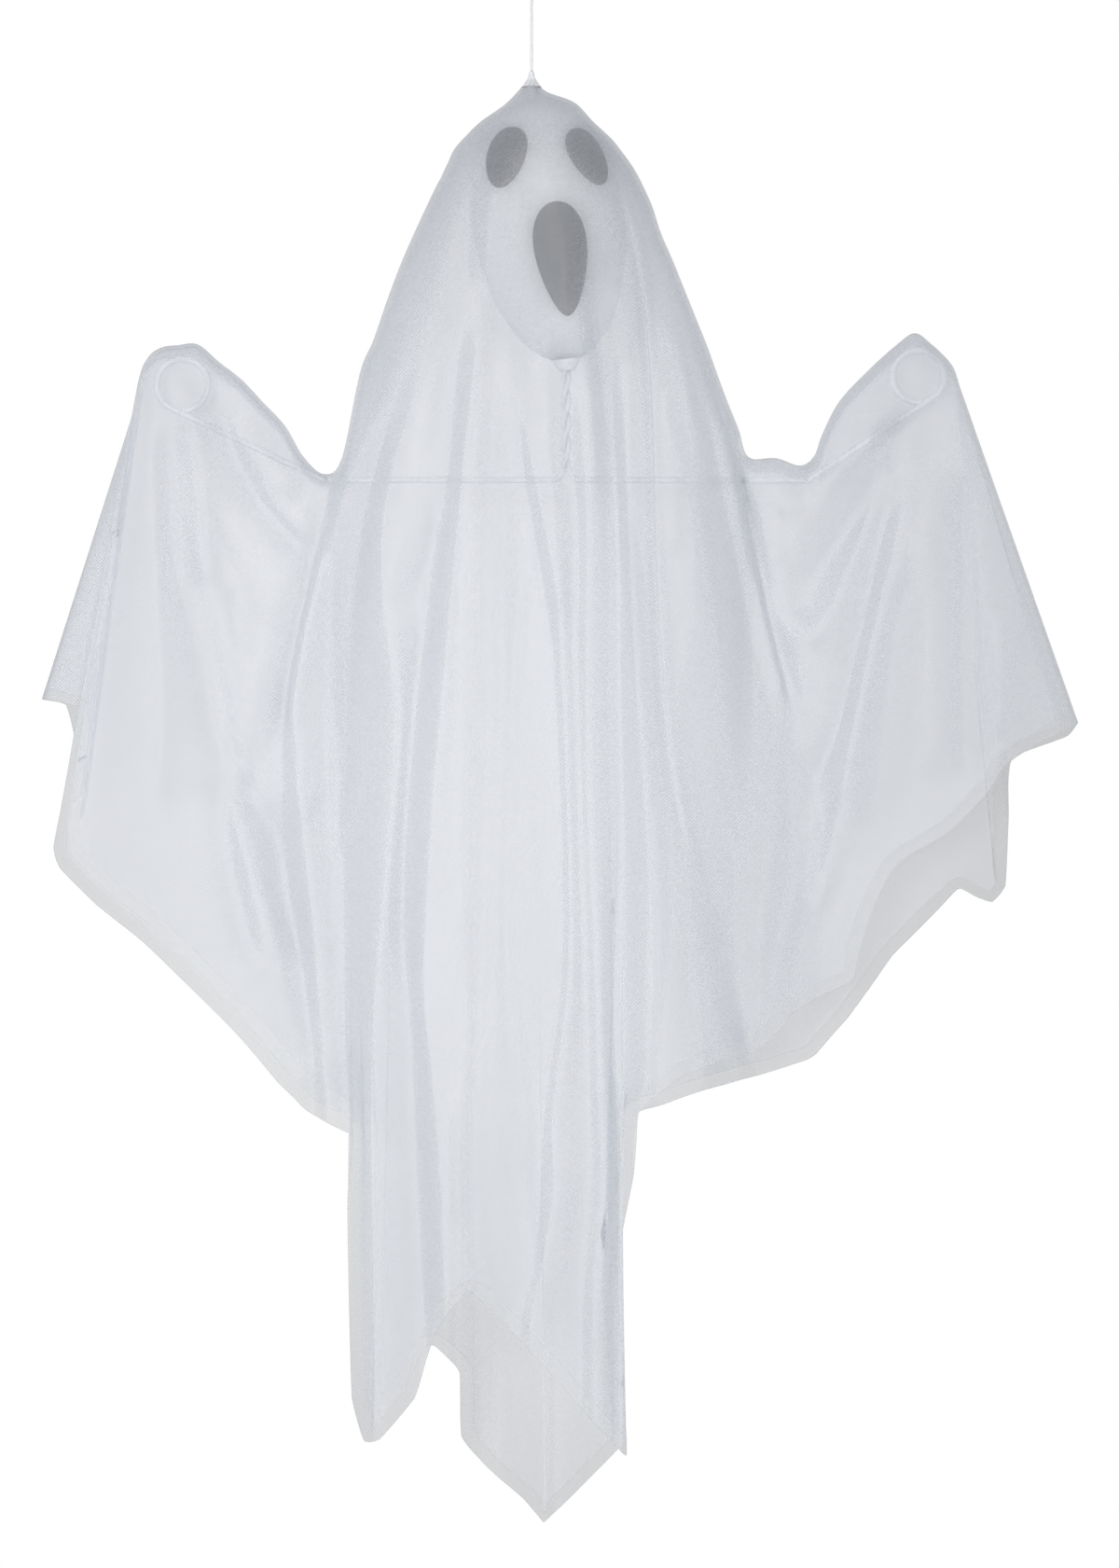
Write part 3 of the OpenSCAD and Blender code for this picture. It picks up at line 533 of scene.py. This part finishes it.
# Long folds from the shoulders to the hem, left to right: route and height (valleys below 0) in mm
long_folds = [
    ([(-64.0, -201.9), (-68.8, -210.0), (-73.4, -233.6), (-79.8, -259.4), (-83.4, -278.8), (-86.6, -300.5),
      (-85.6, -332.8), (-81.4, -365.1), (-77.6, -397.4), (-75.0, -423.3)], -4.5),
    ([(-54.9, -180.9), (-61.4, -200.3), (-66.9, -212.2), (-73.4, -242.3), (-78.5, -272.3), (-80.8, -294.0),
      (-79.2, -319.8), (-76.0, -348.9), (-72.7, -384.5), (-70.5, -423.3)], 3.4),
    ([(-42.0, -171.2), (-50.1, -193.8), (-57.5, -222.9), (-61.4, -255.2), (-63.0, -287.5), (-64.0, -319.8),
      (-64.6, -352.2), (-64.0, -397.4), (-62.7, -426.5)], -3.8),
    ([(-33.0, -156.3), (-40.4, -182.8), (-46.2, -199.9), (-51.1, -224.5), (-50.1, -255.2), (-46.9, -274.6),
      (-45.2, -290.8), (-46.9, -316.6), (-50.1, -348.9), (-53.3, -384.5), (-54.9, -423.3),
      (-53.7, -494.4)], 3.4),
    ([(-21.0, -138.9), (-25.2, -159.9), (-28.1, -198.0), (-32.0, -228.4), (-36.8, -258.8), (-40.4, -289.1),
      (-43.3, -325.3), (-44.3, -357.7), (-44.0, -370.3), (-41.7, -394.5), (-39.8, -436.8), (-37.8, -483.4),
      (-35.9, -507.3)], -4.5),
    ([(-15.8, -150.2), (-20.7, -184.8), (-25.2, -228.4), (-28.1, -262.6), (-32.0, -310.2), (-34.9, -348.3),
      (-36.8, -384.5), (-33.6, -413.6), (-30.4, -462.1), (-29.1, -491.1)], 4.6),
    ([(-7.1, -171.2), (-2.6, -210.0), (3.2, -242.3), (7.1, -274.6), (9.0, -310.2), (10.3, -352.2),
      (9.0, -384.5), (4.8, -414.9), (2.6, -439.4), (0.0, -475.0), (-4.5, -494.4)], -3.8),
    ([(-6.1, -159.9), (-0.6, -196.1), (5.2, -228.4), (10.0, -254.9), (11.6, -281.7), (13.6, -338.6),
      (13.6, -381.3), (9.7, -414.9), (7.8, -431.0), (9.0, -453.0), (5.2, -477.2), (0.6, -497.6)], 2.3),
    ([(12.6, -151.8), (11.6, -196.1), (14.5, -224.5), (14.5, -262.6), (15.5, -300.5), (16.5, -332.8),
      (17.8, -368.3), (18.7, -422.9), (19.7, -441.0), (16.8, -473.4), (16.2, -491.1)], -3.0),
    ([(15.5, -148.6), (19.4, -189.0), (20.4, -228.4), (20.0, -262.6), (20.4, -319.8), (22.6, -365.1),
      (24.2, -413.6), (25.2, -462.1), (22.6, -487.9)], 2.8),
    ([(17.8, -115.3), (20.0, -123.7), (20.7, -135.6), (22.3, -152.4), (25.2, -177.0), (27.8, -205.8),
      (29.4, -243.6), (29.7, -281.7), (30.7, -329.2), (29.7, -365.1), (27.8, -398.7), (30.7, -429.7),
      (30.4, -471.8)], -4.5),
    ([(27.5, -119.5), (33.0, -138.9), (33.6, -186.7), (34.6, -224.5), (37.5, -281.7), (42.3, -338.6),
      (43.6, -365.1), (42.0, -407.1), (35.6, -433.0)], 4.0),
    ([(31.4, -113.0), (35.6, -126.9), (38.1, -141.1), (39.4, -152.4), (41.4, -186.7), (42.7, -234.2),
      (44.9, -272.3), (48.8, -310.2), (54.6, -338.6), (60.8, -361.9), (64.6, -384.5), (67.9, -407.1)], 2.5),
    ([(43.6, -138.9), (53.3, -177.6), (56.6, -222.9), (64.0, -274.6), (71.1, -319.8), (74.3, -342.5),
      (77.6, -368.3), (80.8, -397.4)], 5.2),
    ([(53.3, -145.3), (56.6, -152.4), (63.7, -179.9), (67.9, -192.2), (75.6, -228.4), (81.1, -254.9),
      (88.9, -285.6), (92.4, -295.6), (96.3, -310.2), (98.6, -342.5), (100.2, -378.0)], -3.0)]
# Long folds nearer to each other than fold_room come out lower, down to least_fold of their height. They
# grow over fold_start from their upper end, and the outer ones run out over fold_margin.
fold_room, least_fold = 9.0, 0.2
fold_start, fold_margin = 45.0, 14.0
straight_share = 0.15
fold_steps = 5
fold_fade, fold_reach = 0.14, 5.0
crest_softness, groove_softness = 0.7, 0.6
back_strength = 0.6


def near_route(x, z, route, width):
    """Points within width of a route: which they are, signed distance, way across, fade at the ends."""
    low, high = route.min(0) - width, route.max(0) + width
    picked = (x > low[0]) & (x < high[0]) & (z > low[1]) & (z < high[1])
    px, pz = x[picked], z[picked]
    best = np.full(px.shape, np.inf)
    away, along = np.zeros(px.shape), np.zeros(px.shape)
    across = np.zeros(px.shape + (2,))
    steps = np.diff(route, axis=0)
    lengths = np.hypot(steps[:, 0], steps[:, 1])
    done = 0.0
    for (ax, az), (dx, dz), length in zip(route, steps / lengths[:, None], lengths):
        run = np.clip((px - ax) * dx + (pz - az) * dz, 0, length)
        ox, oz = px - ax - dx * run, pz - az - dz * run
        gap = np.hypot(ox, oz)
        nearer = gap < best
        best = np.where(nearer, gap, best)
        away = np.where(nearer, np.where(dx * (pz - az) - dz * (px - ax) < 0, -gap, gap), away)
        across[nearer] = (-dz, dx)
        along = np.where(nearer, done + run, along)
        done += length
    share = along / done
    fade = smooth_step(0, fold_fade, share) * smooth_step(0, fold_fade, 1 - share)
    return picked, away, across, fade


def long_fold_height(x, z, flip):
    """Height of the long folds at each point, eased from each fold line to the next one."""
    lines, heights = [], []
    for route, height in long_folds:
        points = rounded(route, fold_steps)[::-1]
        lines.append(middle_x + flip * (np.interp(z, points[:, 1], points[:, 0]) - middle_x))
        heights.append(height * smooth_step(0, fold_start, points[-1, 1] - z))
    lines, heights = np.stack(lines, -1), np.stack(heights, -1)
    gaps = np.pad(abs(np.diff(lines, axis=-1)), ((0, 0), (0, 0), (1, 1)), constant_values=fold_room)
    heights *= np.clip(np.minimum(gaps[..., 1:], gaps[..., :-1]) / fold_room, least_fold, 1)
    ends = np.stack([lines.min(-1) - fold_margin, lines.max(-1) + fold_margin], -1)
    lines = np.concatenate([lines, ends], -1)
    heights = np.concatenate([heights, np.zeros_like(ends)], -1)
    gap = x[..., None] - lines
    far = 1e9
    before = np.where(gap >= 0, gap, far)
    after = np.where(gap < 0, -gap, far)
    i, j = before.argmin(-1)[..., None], after.argmin(-1)[..., None]
    low, high = np.take_along_axis(heights, i, -1), np.take_along_axis(heights, j, -1)
    here, there = np.take_along_axis(before, i, -1), np.take_along_axis(after, j, -1)
    share = here / (here + there)
    share = straight_share * share + (1 - straight_share) * smooth_step(0, 1, share)
    return np.where((here < far) & (there < far), low + (high - low) * share, 0)[..., 0]


def fold_cloth(x, z, depth, hold, mirrored):
    """Moves the points of one side of a sheet along its folds. hold is 0 where the cloth can't move."""
    flip = -1 if mirrored else 1
    strength = back_strength if mirrored else 1
    x, z, depth = x.copy(), z.copy(), depth.copy()

    def laid(route):
        points = rounded(route, fold_steps)
        points[:, 0] = middle_x + flip * (points[:, 0] - middle_x)
        return points

    depth += strength * long_fold_height(x, z, flip) * hold
    for route, lift, reach, half in [] if mirrored else tucks:
        picked, away, across, fade = near_route(x, z, laid(route), half)
        u = np.clip(away / half, -1, 1)
        wave = np.sin(np.pi * u) * (1 - u ** 2) * fade * hold[picked]
        x[picked] -= reach * wave * across[:, 0]
        z[picked] -= reach * wave * across[:, 1]
        depth[picked] += lift * wave
    for route, height, left, right in short_folds:
        picked, away, across, fade = near_route(x, z, laid(route), fold_reach * max(left, right))
        width = np.where(away * flip < 0, left, right)
        softness = crest_softness if height > 0 else groove_softness
        shape = np.exp(softness - np.hypot(away / width, softness))
        depth[picked] += strength * height * shape * fade * hold[picked]
    return x, z, depth


def ways_along(line):
    """Unit direction of a line at each of its points."""
    way = np.gradient(line, axis=0)
    return way / np.maximum(np.linalg.norm(way, axis=1), 1e-6)[:, None]


def inset_hem(hem, inset):
    """The hem line drawn in towards the cloth by a small step, evened out at its corners."""
    way = ways_along(hem)
    inwards = np.stack([-way[:, 1], way[:, 0]], 1)
    window, ease = 18, 7
    weights = np.exp(-(np.arange(-window, window + 1) / ease) ** 2)
    weights /= weights.sum()
    padded = np.pad(inwards, ((window, window), (0, 0)), mode="edge")
    evened = np.stack([np.convolve(padded[:, k], weights, "valid") for k in range(2)], 1)
    return hem + evened * inset


# How the cloth stands off what it lies on and leaves the ridge, in mm, with its outer corners in stations
head_gap, least_head_gap, skin_share = 3.2, 3.0, 0.7
egg_blend, wing_blend = 3.0, 4.0
crown_level, cheek_level = -70.0, -100.0
wing_depth, wing_gain, wing_fall = 5.0, 5.0, 180.0
top_rounding, top_closing = 22.0, 5.0
tail_fall = 400.0
corner_stations, still_stations = 3.0, 2.5
still_top, loose_from = 4.0, 26.0
hem_roundness = 0.35


def base_depth(x, z, fall, corner):
    """Half depth of the cloth before it is folded: over the egg, on the cone and out on the wings."""
    width = np.interp(z, cone_levels, cone_widths)
    deep = np.interp(z, cone_levels, cone_depths)
    below = smooth_step(crown_level, cheek_level, z)
    cone = deep * np.sqrt(np.clip(1 - ((x - middle_x * below) / width) ** 2, 0, 1))
    wing = wing_depth + wing_gain * smooth_step(0, wing_fall, fall)
    wing = wing * quarter_round(fall / top_rounding) * corner * below
    depth = softer_max(cone, egg_depth(x, z, head_gap, True), egg_blend * below)
    depth = softer_max(depth, wing, wing_blend * below)
    closed_top = np.sqrt(smooth_step(-0.5, top_closing, fall))
    return depth * closed_top * np.maximum(corner, smooth_step(0, 1, fall - tail_fall))


def draw_in(base, way, skin):
    """A side's points moved inwards by skin along its own surface; way is the ridge's direction."""
    out = np.cross(np.gradient(base, axis=1), np.gradient(base, axis=0))
    out /= np.maximum(np.linalg.norm(out, axis=-1), 1e-9)[..., None]
    facing = out[..., 1] + 0.5 * (out[..., 2] * way[:, :1] - out[..., 0] * way[:, 1:])
    return base - skin * out * np.where(facing >= 0, 1, -1)[..., None]


def drape_side(hem, inset, skin, back):
    """One side of a sheet as a grid: x, z and half depth of each point in mm, and its place when flat."""
    top = points_along(ridge_points, stations, 1.0)
    foot = inset_hem(points_along(hem, stations, hem_roundness), inset)
    flat = top[:, None, :] + (foot - top)[:, None, :] * row_shares[None, :, None]
    x, z = flat[..., 0], flat[..., 1]
    fall = np.linalg.norm(foot - top, axis=1)[:, None] * row_shares[None, :]
    inward = np.minimum(stations, stations[-1] - stations)[:, None]
    depth = base_depth(x, z, fall, quarter_round(inward / corner_stations))
    x, depth, z = np.moveaxis(draw_in(np.stack([x, depth, z], -1), ways_along(top), skin), -1, 0)
    hold = smooth_step(still_top, loose_from, fall) * smooth_step(0.0, still_stations, inward)
    laid = np.stack([x, z, depth])
    moved = np.stack(fold_cloth(x, z, depth, hold, back)) - laid
    for _ in range(2):
        moved[:, 1:-1] = (moved[:, :-2] + 2 * moved[:, 1:-1] + moved[:, 2:]) / 4
        moved[:, :, 1:-1] = (moved[:, :, :-2] + 2 * moved[:, :, 1:-1] + moved[:, :, 2:]) / 4
    x, z, depth = laid + moved
    return x, z, depth, flat


def sheet_grids(inset, skin, cut):
    """Front and back grids in metres, drawn in by skin mm, with each point's place on the cut cloth."""
    turn = np.array([[math.cos(cut), -math.sin(cut)], [math.sin(cut), math.cos(cut)]])
    sides = []
    for hem, back in ((front_hem, False), (back_hem, True)):
        x, z, depth, flat = drape_side(hem, inset, skin, back)
        depth = np.maximum(depth, egg_depth(x, z, least_head_gap - skin_share * skin, False))
        depth[:, 0] = 0
        depth[[0, -1]] = 0
        points = np.stack([x, depth if back else -depth, z], -1)
        sides.append((points / 1000, flat @ turn / 1000))
    return sides


def half_columns(left):
    """The grid's columns in one half, up to the crown or from it."""
    return slice(0, crown_column + 1) if left else slice(crown_column, None)


def weave_sheet(name, sides, left):
    """Half of a sheet as a mesh: front and back grids joined at the ridge and the outer edge."""
    points = [side[half_columns(left)] for side, flat in sides]
    flats = [flat[half_columns(left)] for side, flat in sides]
    columns, rows = points[0].shape[:2]
    shape = bmesh.new()
    bmesh.ops.create_grid(shape, x_segments=rows - 1, y_segments=columns - 1, size=1)
    front_faces = len(shape.faces)
    bmesh.ops.create_grid(shape, x_segments=rows - 1, y_segments=columns - 1, size=1)
    bmesh.ops.reverse_faces(shape, faces=list(shape.faces)[front_faces:])
    data = bpy.data.meshes.new(name)
    shape.to_mesh(data)
    data.vertices.foreach_set("co", np.stack(points).ravel())
    layer = data.uv_layers.new(name="weave")
    loops = np.empty(len(data.loops), int)
    data.loops.foreach_get("vertex_index", loops)
    layer.data.foreach_set("uv", np.stack(flats).reshape(-1, 2)[loops].ravel())
    shape.clear()
    shape.from_mesh(data)
    bmesh.ops.remove_doubles(shape, verts=shape.verts, dist=2e-6)
    bmesh.ops.dissolve_degenerate(shape, edges=shape.edges, dist=1e-7)
    for face in shape.faces:
        face.smooth = True
    shape.to_mesh(data)
    shape.free()
    piece = bpy.data.objects.new(name, data)
    scene.collection.objects.link(piece)
    return piece


thread_pitch = 0.0009
thin_cover, dense_cover, uneven_cover = 0.21, 0.26, 0.14
sheer_cloth = bpy.data.materials.new("sheer_cloth")
sheer_cloth.use_nodes = True
cloth_nodes, cloth_links = sheer_cloth.node_tree.nodes, sheer_cloth.node_tree.links
cloth_shader = cloth_nodes["Principled BSDF"]
cloth_out = cloth_nodes["Material Output"]
cloth_place = cloth_nodes.new("ShaderNodeUVMap")
cloth_place.uv_map = "weave"
cloth_turn = cloth_nodes.new("ShaderNodeMapping")
cloth_turn.inputs["Rotation"].default_value = (0, 0, math.radians(45))
warp = cloth_nodes.new("ShaderNodeTexWave")
warp.bands_direction = "X"
weft = cloth_nodes.new("ShaderNodeTexWave")
weft.bands_direction = "Y"
for threads in (warp, weft):
    threads.inputs["Scale"].default_value = 2 * math.pi / 20 / thread_pitch
    threads.inputs["Distortion"].default_value = 1.6
    threads.inputs["Detail Scale"].default_value = 0.12
    cloth_links.new(cloth_turn.outputs["Vector"], threads.inputs["Vector"])
crossings = cloth_nodes.new("ShaderNodeMath")
crossings.operation = "ADD"
slub = cloth_nodes.new("ShaderNodeTexNoise")
slub.inputs["Scale"].default_value = 900
slub.inputs["Detail"].default_value = 5
cover = cloth_nodes.new("ShaderNodeMapRange")
cover.inputs["From Max"].default_value = 2.0
cover.inputs["To Min"].default_value = thin_cover
cover.inputs["To Max"].default_value = dense_cover
uneven = cloth_nodes.new("ShaderNodeMath")
uneven.operation = "MULTIPLY_ADD"
uneven.inputs[1].default_value = uneven_cover
uneven.inputs[2].default_value = -uneven_cover / 2
total_cover = cloth_nodes.new("ShaderNodeMath")
total_cover.operation = "ADD"
total_cover.use_clamp = True
cloth_links.new(cloth_place.outputs["UV"], cloth_turn.inputs["Vector"])
cloth_links.new(cloth_place.outputs["UV"], slub.inputs["Vector"])
cloth_links.new(warp.outputs["Fac"], crossings.inputs[0])
cloth_links.new(weft.outputs["Fac"], crossings.inputs[1])
cloth_links.new(crossings.outputs[0], cover.inputs["Value"])
cloth_links.new(slub.outputs["Fac"], uneven.inputs[0])
cloth_links.new(cover.outputs["Result"], total_cover.inputs[0])
cloth_links.new(uneven.outputs[0], total_cover.inputs[1])
add_relief(sheer_cloth, crossings.outputs[0], distance=0.00025, strength=0.35)
cloth_shader.inputs["Base Color"].default_value = (0.72, 0.765, 0.83, 1)
cloth_shader.inputs["Roughness"].default_value = 0.33
cloth_shader.inputs["IOR"].default_value = 1.8
cloth_shader.inputs["Specular IOR Level"].default_value = 1.0
cloth_shader.inputs["Sheen Weight"].default_value = 0.03
cloth_shader.inputs["Sheen Roughness"].default_value = 0.4
through = cloth_nodes.new("ShaderNodeBsdfTranslucent")
through.inputs["Color"].default_value = (0.895, 0.885, 0.895, 1)
clear = cloth_nodes.new("ShaderNodeBsdfTransparent")
thread_mix = cloth_nodes.new("ShaderNodeMixShader")
thread_mix.inputs["Fac"].default_value = 0.40
hole_mix = cloth_nodes.new("ShaderNodeMixShader")

# Seen at a slant, a light ray passes more thread: the open share is (1 - cover) to the power of 1 / cosine
facing = cloth_nodes.new("ShaderNodeLayerWeight")
facing.inputs["Blend"].default_value = 0.5
square_on = cloth_nodes.new("ShaderNodeMath")
square_on.operation = "SUBTRACT"
square_on.inputs[0].default_value = 1.0
least_square = cloth_nodes.new("ShaderNodeMath")
least_square.operation = "MAXIMUM"
least_square.inputs[1].default_value = 0.4
slant = cloth_nodes.new("ShaderNodeMath")
slant.operation = "DIVIDE"
slant.inputs[0].default_value = 1.0
gaps = cloth_nodes.new("ShaderNodeMath")
gaps.operation = "SUBTRACT"
gaps.inputs[0].default_value = 1.0
open_share = cloth_nodes.new("ShaderNodeMath")
open_share.operation = "POWER"
cloth_links.new(facing.outputs["Facing"], square_on.inputs[1])
cloth_links.new(square_on.outputs[0], least_square.inputs[0])
cloth_links.new(least_square.outputs[0], slant.inputs[1])
cloth_links.new(total_cover.outputs[0], gaps.inputs[1])
cloth_links.new(gaps.outputs[0], open_share.inputs[0])
cloth_links.new(slant.outputs[0], open_share.inputs[1])
cloth_links.new(cloth_shader.outputs[0], thread_mix.inputs[1])
cloth_links.new(through.outputs[0], thread_mix.inputs[2])
cloth_links.new(open_share.outputs[0], hole_mix.inputs["Fac"])
cloth_links.new(thread_mix.outputs[0], hole_mix.inputs[1])
cloth_links.new(clear.outputs[0], hole_mix.inputs[2])
cloth_links.new(hole_mix.outputs[0], cloth_out.inputs["Surface"])

# Hems: fine white overlock thread sewn over the cut edge of each sheet, loose enough to see through.
# It is one thin bead along the hem of each half.
overlock_thread, thread_shader = speckled("overlock_thread", scale=1200, detail=2, dark=(0.82, 0.83, 0.85),
                                          light=(0.93, 0.94, 0.95))[:2]
thread_nodes, thread_links = overlock_thread.node_tree.nodes, overlock_thread.node_tree.links
thread_shader.inputs["Roughness"].default_value = 0.7
thread_glow = thread_nodes.new("ShaderNodeBsdfTranslucent")
thread_glow.inputs["Color"].default_value = (0.93, 0.94, 0.95, 1)
thread_blend = thread_nodes.new("ShaderNodeMixShader")
thread_blend.inputs["Fac"].default_value = 0.5
thread_gap = thread_nodes.new("ShaderNodeBsdfTransparent")
thread_cover = thread_nodes.new("ShaderNodeMixShader")
thread_cover.inputs["Fac"].default_value = 0.08
thread_links.new(thread_shader.outputs[0], thread_blend.inputs[1])
thread_links.new(thread_glow.outputs[0], thread_blend.inputs[2])
thread_links.new(thread_gap.outputs[0], thread_cover.inputs[1])
thread_links.new(thread_blend.outputs[0], thread_cover.inputs[2])
thread_links.new(thread_cover.outputs[0], thread_nodes["Material Output"].inputs["Surface"])
hem_make = {"diameter": 0.0005, "lobes": 0, "sides": 6, "lay_length": 0.0034}
stitch_pitch = 0.0012


def bind_hem(name, line):
    """The overlocked edge: a bead of thread along the hem, evenly stepped."""
    steps = np.linalg.norm(np.diff(line, axis=0), axis=1)
    line = line[np.concatenate([[True], steps > 1e-5])]
    run = np.concatenate([[0], np.cumsum(np.linalg.norm(np.diff(line, axis=0), axis=1))])
    at = np.linspace(0, run[-1], int(run[-1] / stitch_pitch))
    route = [Vector(p) for p in np.stack([np.interp(at, run, line[:, k]) for k in range(3)], 1)]
    bead = lay_cord(name, route, **hem_make)
    bead.data.materials.append(overlock_thread)
    return bead


# Each half has two points given just outside its elbow, which nothing here uses. The inner sheet lies
# layer_gap mm under the outer one, its hem hem_step mm inside, and its weave is turned. Each half is cut from
# a flat piece, with its own area in m2.
elbow_bends = {"left": ((-0.074, 0, -0.205), (-0.101, 0, -0.199)),
               "right": ((0.098, 0, -0.205), (0.125, 0, -0.199))}
hem_step, layer_gap, weave_turn = 4.5, 1.4, 0.5
for sheet, inset, skin, cut in (("outer", 0.0, 0.0, 0.0), ("inner", hem_step, layer_gap, weave_turn)):
    sides = sheet_grids(inset, skin, cut)
    for word, (start, end) in elbow_bends.items():
        left = word == "left"
        half = weave_sheet(f"{sheet}_sheet_{word}_half", sides, left)
        half.data.materials.append(sheer_cloth)
        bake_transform(half)
        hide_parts(f"{sheet}_sheet")
        front_edge, back_edge = [points[half_columns(left), -1] for points, flat in sides]
        outwards = -1 if left else 1
        hem_line = np.concatenate([front_edge[::outwards], back_edge[::-outwards]])
        hem = bind_hem(f"{sheet}_hem_{word}_half", hem_line)
        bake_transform(hem)
